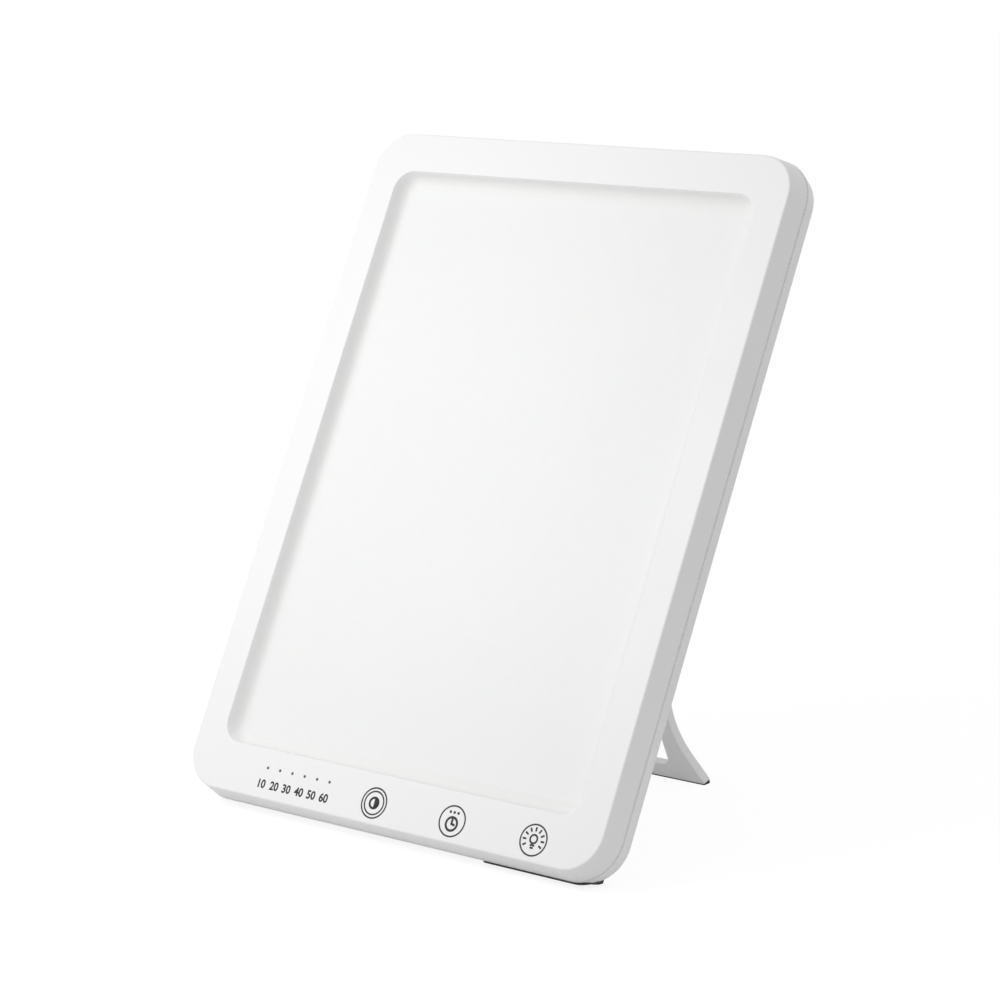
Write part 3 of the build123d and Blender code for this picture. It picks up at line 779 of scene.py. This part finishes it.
def lamp_symbol(sizes):
    """A small lamp bulb in a fan of nine rays: the on and off key."""
    thinner = 0.8           # its lines against those of the other symbols
    line = sizes.symbol_line * thinner
    bulb_radius, bulb_rise = 1.75 * MM, 0.35 * MM
    cap = ((0.65 * MM, -1.75 * MM), (0.4 * MM, -2.6 * MM))  # half width, rise of its lines
    rays, near, far = 9, 3.2 * MM, 4.1 * MM
    fan = 240               # degrees that the rays spread over

    def draw(shape):
        ring(shape, (0, bulb_rise), bulb_radius, line, sizes.ink, count=SYMBOL_FACETS)
        for half, rise in cap:
            stroke(shape, (-half, rise), (half, rise), line, sizes.ink)

    def ray(shape):
        start = math.radians(90 - fan / 2)
        stroke(shape, (near * math.cos(start), near * math.sin(start)),
               (far * math.cos(start), far * math.sin(start)), line, sizes.ink)

    burst = repeated("lamp_rays", ray, rays, pad_printing_ink,
                     turn_by=math.radians(fan / (rays - 1)))
    return [mesh_of("lamp_symbol", draw), burst]


class LAMP_OT_touch_marks(bpy.types.Operator):
    """Print the rings and symbols over the three touch keys"""

    bl_idname = "lamp.touch_marks"
    bl_label = "Touch Marks"

    def execute(self, context):
        sizes = context.scene.lamp_sizes
        marks = []
        symbols = [level_symbol, timer_symbol, lamp_symbol]
        for box, symbol in zip(solid_boxes("touch_pads"), symbols, strict=True):
            outer = mesh_of("key_ring", lambda shape: ring(
                shape, (0, 0), sizes.ring_radius, sizes.ring_line, sizes.ink))
            spot = middle(box)
            for mesh in [outer, *symbol(sizes)]:
                mesh.transform(on_face(spot.x, spot.y))
                marks.append(mesh)
        place_piece("touch_marks", joined("touch_marks", marks), "panel",
                    pad_printing_ink)
        return {"FINISHED"}


# ---- Gasket round the screen -------------------------------------------------------------------

def framed(shape, middle_point, half_across, half_down, radius, section):
    """A closed frame: a section of (inset, depth) points taken round a rounded rectangle."""
    rings = []
    for corner, (right, down) in enumerate(((1, 1), (-1, 1), (-1, -1), (1, -1))):
        centre = (middle_point.x + right * (half_across - radius),
                  middle_point.y + down * (half_down - radius))
        for step in range(CORNER_FACETS + 1):
            angle = math.radians(90 * corner + 90 * step / CORNER_FACETS)
            rings.append([shape.verts.new((centre[0] + (radius - inset) * math.cos(angle),
                                           centre[1] + (radius - inset) * math.sin(angle), depth))
                          for inset, depth in section])
    skin(shape, rings, closed=True)


class LAMP_OT_screen_gasket(bpy.types.Operator):
    """Mould the gasket's hollow lip into the corner between the window wall and the screen"""

    bl_idname = "lamp.screen_gasket"
    bl_label = "Screen Gasket"

    steps: bpy.props.IntProperty(name="Steps", description="Facets of the hollow", default=14)

    def execute(self, context):
        sizes = context.scene.lamp_sizes
        low, high = node_box("window_gasket")
        lean_in = math.tan(sizes.window_slope)
        corner = (sizes.gasket_width + (high.z - low.z) * lean_in, high.z)
        gap = 0.01 * MM             # to the window wall, and the lip's thickness at its tip
        top = (corner[0] - sizes.lip_height * lean_in + gap, corner[1] - sizes.lip_height)
        tip = (corner[0] + sizes.lip_reach, corner[1] - gap)
        hollow = []
        for step in range(self.steps + 1):
            part = step / self.steps
            weights = (part ** 2, 2 * part * (1 - part), (1 - part) ** 2)
            hollow.append(tuple(sum(weight * point[axis] for weight, point
                                    in zip(weights, (top, corner, tip))) for axis in (0, 1)))
        section = [(0, low.z), (0, high.z), (tip[0], high.z), *hollow,
                   (sizes.gasket_width + gap, low.z)]
        half = (high - low) / 2
        mesh = mesh_of("screen_gasket", lambda shape: framed(
            shape, middle((low, high)), half.x, half.y, sizes.gasket_radius, section))
        mesh.transform(PANEL.to_4x4())
        piece = place_piece("screen_gasket", mesh, "panel", closed_cell_foam)
        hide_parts("window_gasket")
        return {"FINISHED"}


# ---- Wedge in front of the right pad: part pad, part painted contact shadow --------------------

class LAMP_OT_pad_and_shadow_wedge(bpy.types.Operator):
    """Lay the right pad's soft wedge under the cover, parting line to pad: part pad, part painted
    shadow
    """

    bl_idname = "lamp.pad_wedge"
    bl_label = "Pad Wedge"

    front: length("Front", "Front of the wedge behind the case's front face", 10.15)
    proud: length("Proud", "How far the wedge stands out past the case's fullest line", 0.62)
    start: length("Start", "Inner end of the pad to the wedge's inner end", 4.5)
    fullest: length("Fullest corner", "Corner radius of the case at its fullest line", 15.8)
    corner_turn: turn("Corner turn", "How far the wedge follows the case's corner", 18)
    draft: bpy.props.FloatProperty(
        name="Draft", description="How much the cover draws in for its depth", default=0.189)
    parting: length("Parting", "Parting line behind the case's front face", 9.6)

    def execute(self, context):
        pad_low = node_box("base_pad_right")[0]
        case_high = node_box("front_bezel")[1]
        centre = Vector((case_high.x - self.fullest, case_high.y - self.fullest))
        front, back = self.front, pad_low.z - FACE_DEPTH
        sunk = 0.02 * MM                # its inner face into the cover's skin
        ease = 0.15 * MM                # chamfer of its front edge
        slope_start = front + 1.5 * MM  # where it begins to thin
        slope_end = front + 3.1 * MM
        thinned = 0.15 * MM             # its outer face past the fullest line there
        edge = 0.12 * MM                # its thickness at the pad
        cover = {depth: (self.parting - depth) * self.draft - sunk for depth in (front, back)}
        section = [(cover[front], front), (self.proud - ease, front), (self.proud, front + ease),
                   (self.proud, slope_start), (thinned, slope_end), (cover[back] + edge, back),
                   (cover[back], back)]
        quarter = math.pi / 2
        facets = 6
        turns = [(pad_low.x + self.start, quarter)]
        turns += [(centre.x, quarter - self.corner_turn * step / facets)
                  for step in range(facets + 1)]

        def draw(shape):
            rings = [[shape.verts.new((x + (self.fullest + out) * math.cos(angle),
                                       centre.y + (self.fullest + out) * math.sin(angle),
                                       FACE_DEPTH + depth)) for out, depth in section]
                     for x, angle in turns]
            skin(shape, rings)
            shape.faces.new(rings[0])
            shape.faces.new(reversed(rings[-1]))

        mesh = mesh_of("pad_wedge", draw)
        mesh.transform(PANEL.to_4x4())
        # dark silicone on the right only: partly a real pad, partly a painted contact shadow
        # under the case's bottom edge
        place_piece("base_pad_wedge", mesh, "panel", moulded_silicone)
        return {"FINISHED"}


# ---- Screws and inlet --------------------------------------------------------------------------

def lathe(shape, profile, count=40):
    """Turn a profile of (radius, height) about the z axis; its ends lie on the axis."""
    rings = []
    for radius, height in profile:
        points = circle_points((0, 0), radius, count) if radius else [(0, 0)]
        rings.append([shape.verts.new((x, y, height)) for x, y in points])
    skin(shape, rings)


def cross_cutter(shape, span, width, depth, taper=0.5):
    """A closed plus-shaped block from above z 0 down to depth, narrower at its tip."""
    far, near = span / 2, width / 2
    outline = [(far, -near), (far, near), (near, near), (near, far), (-near, far), (-near, near),
               (-far, near), (-far, -near), (-near, -near), (-near, -far), (near, -far),
               (near, -near)]
    tip = [(x * taper, y * taper) for x, y in outline]
    block(shape, tip, -depth, outline, depth)


def screw_mesh(sizes, head_radius, head_height, shank, total):
    """A pan-head screw with a cross recess, its top at z 0 and its shank going down."""
    dome = 0.55 * head_height           # the rounded part of the head
    facets = 8                          # of the dome, from its middle to its rim
    arch = [math.radians(90 * i / facets) for i in range(1, facets + 1)]
    crown = [(head_radius * math.sin(a), dome * (math.cos(a) - 1)) for a in arch]
    profile = [(0, 0), *crown, (head_radius, -head_height), (shank, -head_height),
               (shank, shank / 2 - total), (shank / 2, -total), (0, -total)]
    screw = add_object("screw", mesh_of("screw", lambda shape: lathe(shape, profile)))
    cutter = add_object("recess", mesh_of("recess", lambda shape: cross_cutter(
        shape, sizes.recess_span, sizes.recess_width, sizes.recess_depth)))
    cut = screw.modifiers.new("recess", "BOOLEAN")
    cut.operation = "DIFFERENCE"
    cut.solver = "EXACT"
    cut.object = cutter
    mesh = evaluated_mesh(screw)
    bpy.data.objects.remove(cutter)
    bpy.data.objects.remove(screw)
    return mesh


class LAMP_OT_cover_screws(bpy.types.Operator):
    """Cut a cross recess into the heads of the rear cover's screws"""

    bl_idname = "lamp.cover_screws"
    bl_label = "Cover Screws"

    shank: length("Shank", "Radius of the shank", 1.2)
    head_height: length("Head height", "Height of the head", 1.6)
    seed: bpy.props.IntProperty(name="Seed", description="Turns of the recesses", default=4)

    def execute(self, context):
        boxes = solid_boxes("cover_screws")
        low, high = boxes[0]
        head_radius = (high.x - low.x) / 2
        total = high.z - low.z
        held = add_object("screw_shape", screw_mesh(
            context.scene.lamp_sizes, head_radius, self.head_height, self.shank, total))
        spots = bpy.data.meshes.new("screw_spots")
        spots.from_pydata([(*middle(box).xy, box[1].z) for box in boxes], [], [])
        mesh = grown("rear_cover_screws", spots, scatter_tree(), {
            "Shape": held, "Seed": self.seed, "Material": material_from(zinc_plated_steel),
        })
        bpy.data.objects.remove(held)
        mesh.transform(PANEL.to_4x4())
        piece = place_piece("rear_cover_screws", mesh, "panel", zinc_plated_steel)
        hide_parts("cover_screws")
        return {"FINISHED"}


class LAMP_OT_inlet_contacts(bpy.types.Operator):
    """Lay the rows of contacts on both sides of the inlet's tongue"""

    bl_idname = "lamp.inlet_contacts"
    bl_label = "Inlet Contacts"

    count: bpy.props.IntProperty(name="Count", description="Contacts in a row", default=12)
    long: length("Length", "Length of a contact", 3.4)
    proud: length("Proud", "Height of a contact over the tongue", 0.03)
    set_back: length("Set back", "Tip of the tongue to the tips of the contacts", 0.4)

    def execute(self, context):
        sizes = context.scene.lamp_sizes
        low, high = node_box("inlet_tongue")
        start = middle((low, high)).y - (self.count - 1) / 2 * sizes.contact_pitch
        tip = low.x + self.set_back
        root = tip + self.long
        half = sizes.contact_width / 2

        def bar(shape):
            prism(shape, [(tip, -half), (root, -half), (root, half), (tip, half)], self.proud)

        rows = []
        for depth in (low.z - self.proud, high.z):
            row = repeated("contact_row", bar, self.count, gold_plated_contact,
                           step=(0, sizes.contact_pitch, 0))
            row.transform(PANEL.to_4x4() @ Matrix.Translation((0, start, depth)))
            rows.append(row)
        place_piece("inlet_contacts", joined("inlet_contacts", rows), "panel",
                    gold_plated_contact)
        return {"FINISHED"}


# ---- Finishes of the CAD pieces ----------------------------------------------------------------

def dress_nodes(*nodes):
    """Give CAD nodes the finish of their material slot in the frame's record."""
    slots = {part["node"]: part["material_slot"] for part in frame["record"]["subparts"]}
    for node in nodes:
        dress(node, SLOT_FINISHES[slots[node]])


class LAMP_OT_housing(bpy.types.Operator):
    """Finish the front frame, the rear cover and the diffuser"""

    bl_idname = "lamp.housing"
    bl_label = "Housing"

    def execute(self, context):
        dress_nodes("front_bezel", "rear_cover", "diffuser", "window_gasket")
        dress("light_pipe_comb", smoked_acrylic)
        return {"FINISHED"}


class LAMP_OT_light_engine(bpy.types.Operator):
    """Finish the sheets behind the diffuser and the LED strips"""

    bl_idname = "lamp.light_engine"
    bl_label = "Light Engine"

    def execute(self, context):
        dress_nodes("diffusing_film", "light_guide", "reflector_sheet", "back_plate",
                    "led_strip_right", "led_strip_left", "led_chips_right", "led_chips_left")
        return {"FINISHED"}


class LAMP_OT_electronics(bpy.types.Operator):
    """Finish the control board, its parts and the inlet"""

    bl_idname = "lamp.electronics"
    bl_label = "Electronics"

    def execute(self, context):
        dress_nodes("control_board", "touch_pads", "indicator_leds", "board_connectors",
                    "driver_coil", "driver_capacitor", "driver_chips", "board_screws",
                    "inlet_shell", "inlet_tongue", "inlet_board", "inlet_flex")
        return {"FINISHED"}


class LAMP_OT_stand(bpy.types.Operator):
    """Finish the fold-out stand, its hinge and the soft feet"""

    bl_idname = "lamp.stand"
    bl_label = "Stand and Feet"

    def execute(self, context):
        dress_nodes("kickstand", "foot_strip", "hinge_pins", "hinge_washers",
                    "base_pad_right", "base_pad_left", "cover_screws")
        return {"FINISHED"}


# ---- Stage -------------------------------------------------------------------------------------

def grey(level):
    """A grey of a linear level."""
    return (level, level, level, 1)


def seen_directly(tree):
    """1 for camera, glossy and transmission rays, so that metal and glass see the same white."""
    path = add_node(tree, "ShaderNodeLightPath")
    mirror = add_node(tree, "ShaderNodeMath", {
        0: path.outputs["Is Camera Ray"], 1: path.outputs["Is Glossy Ray"],
    }, operation="MAXIMUM")
    either = add_node(tree, "ShaderNodeMath", {
        0: mirror.outputs["Value"], 1: path.outputs["Is Transmission Ray"],
    }, operation="MAXIMUM")
    return either.outputs["Value"]


def floor_material():
    """Pale matt floor that reads as white where it is seen, with a faint shadow kept."""
    bounced = 0.8           # share of the light that it gives back to the lamp
    shadowed = 0.22         # share that shows where it is seen, and so the shadow's depth
    glow = 0.86             # white that is added where it is seen
    material, tree = new_tree("pale_floor")
    lit = add_node(tree, "ShaderNodeBsdfDiffuse", {"Color": grey(bounced)})
    faint = add_node(tree, "ShaderNodeBsdfDiffuse", {"Color": grey(shadowed)})
    white = add_node(tree, "ShaderNodeEmission", {"Color": grey(1), "Strength": glow})
    shown = add_node(tree, "ShaderNodeAddShader", {0: faint.outputs[0], 1: white.outputs[0]})
    mixed = add_node(tree, "ShaderNodeMixShader", {
        "Fac": seen_directly(tree), 1: lit.outputs[0], 2: shown.outputs[0],
    })
    add_node(tree, "ShaderNodeOutputMaterial", {"Surface": mixed.outputs[0]})
    return material


def surround(strength):
    """Even light from all round; where it is seen, it is plain white."""
    world = bpy.data.worlds.new("surround")
    world.use_nodes = True
    tree = world.node_tree
    tree.nodes.clear()
    light = add_node(tree, "ShaderNodeBackground", {"Color": grey(1), "Strength": strength})
    white = add_node(tree, "ShaderNodeBackground", {"Color": grey(1), "Strength": 1.0})
    mixed = add_node(tree, "ShaderNodeMixShader", {
        "Fac": seen_directly(tree), 1: light.outputs[0], 2: white.outputs[0],
    })
    add_node(tree, "ShaderNodeOutputWorld", {"Surface": mixed.outputs[0]})
    return world


class LAMP_OT_stage(bpy.types.Operator):
    """Lay the floor and set the lights and the camera"""

    bl_idname = "lamp.stage"
    bl_label = "Stage"

    def execute(self, context):
        stage = context.scene.lamp_stage
        half = stage.floor_size / 2
        floor_mesh = bpy.data.meshes.new("floor")
        floor_mesh.from_pydata(
            [(-half, -half, 0), (half, -half, 0), (half, half, 0), (-half, half, 0)], [],
            [(0, 1, 2, 3)])
        floor_mesh.materials.append(floor_material())
        add_object("floor", floor_mesh)
        context.scene.world = surround(stage.surround)

        target = middle(cad_box)
        lamp = bpy.data.lights.new("key", "AREA")
        lamp.energy = stage.key_power
        lamp.size = stage.key_size
        key = add_object("key", lamp)
        key.location = target + Vector(stage.key_offset)
        key.rotation_euler = (target - key.location).to_track_quat("-Z", "Y").to_euler()

        view = bpy.data.cameras.new("camera")
        view.lens = stage.lens
        view.shift_x = (RENDER_SIDE / 2 - stage.axis_pixel[0]) / RENDER_SIDE
        view.shift_y = (stage.axis_pixel[1] - RENDER_SIDE / 2) / RENDER_SIDE
        view.clip_end = stage.reach
        camera = add_object("camera", view)
        camera.location = stage.camera_place
        camera.rotation_euler = (math.pi / 2 - stage.pitch, 0, stage.heading)
        context.scene.camera = camera
        context.scene.view_settings.view_transform = "Standard"
        return {"FINISHED"}


# ---- Sidebar and run ---------------------------------------------------------------------------

OPERATORS = (
    LAMP_OT_housing, LAMP_OT_light_engine, LAMP_OT_electronics, LAMP_OT_stand,
    LAMP_OT_screen_gasket, LAMP_OT_pad_and_shadow_wedge, LAMP_OT_timer_numbers, LAMP_OT_touch_marks,
    LAMP_OT_cover_screws, LAMP_OT_inlet_contacts, LAMP_OT_stage,
)


class LAMP_PT_sidebar(bpy.types.Panel):
    """Settings and steps of the lamp"""

    bl_label = "Light Therapy Lamp"
    bl_idname = "LAMP_PT_sidebar"
    bl_space_type = "VIEW_3D"
    bl_region_type = "UI"
    bl_category = "Lamp"

    def draw(self, context):
        for group in (context.scene.lamp_colours, context.scene.lamp_sizes,
                      context.scene.lamp_stage):
            box = self.layout.box()
            for name in group.bl_rna.properties.keys():
                if name not in {"rna_type", "name"}:
                    box.prop(group, name)
        for operator in OPERATORS:
            self.layout.operator(operator.bl_idname)


CLASSES = (LampSizes, LampColours, StageSettings, *OPERATORS, LAMP_PT_sidebar)


def register():
    """Register the classes and hang the settings on the scene."""
    for made in CLASSES:
        bpy.utils.register_class(made)
    bpy.types.Scene.lamp_sizes = bpy.props.PointerProperty(type=LampSizes)
    bpy.types.Scene.lamp_colours = bpy.props.PointerProperty(type=LampColours)
    bpy.types.Scene.lamp_stage = bpy.props.PointerProperty(type=StageSettings)


def unregister():
    """Take the settings and the classes away again."""
    del bpy.types.Scene.lamp_stage
    del bpy.types.Scene.lamp_colours
    del bpy.types.Scene.lamp_sizes
    for made in reversed(CLASSES):
        bpy.utils.unregister_class(made)


def main():
    """Dress the CAD pieces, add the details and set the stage."""
    register()
    bpy.ops.lamp.housing()
    bpy.ops.lamp.light_engine()
    bpy.ops.lamp.electronics()
    bpy.ops.lamp.stand()
    bpy.ops.lamp.screen_gasket()
    bpy.ops.lamp.pad_wedge()
    bpy.ops.lamp.timer_numbers()
    bpy.ops.lamp.touch_marks()
    bpy.ops.lamp.cover_screws()
    bpy.ops.lamp.inlet_contacts()
    bpy.ops.lamp.stage()


if __name__ == "__main__":
    main()
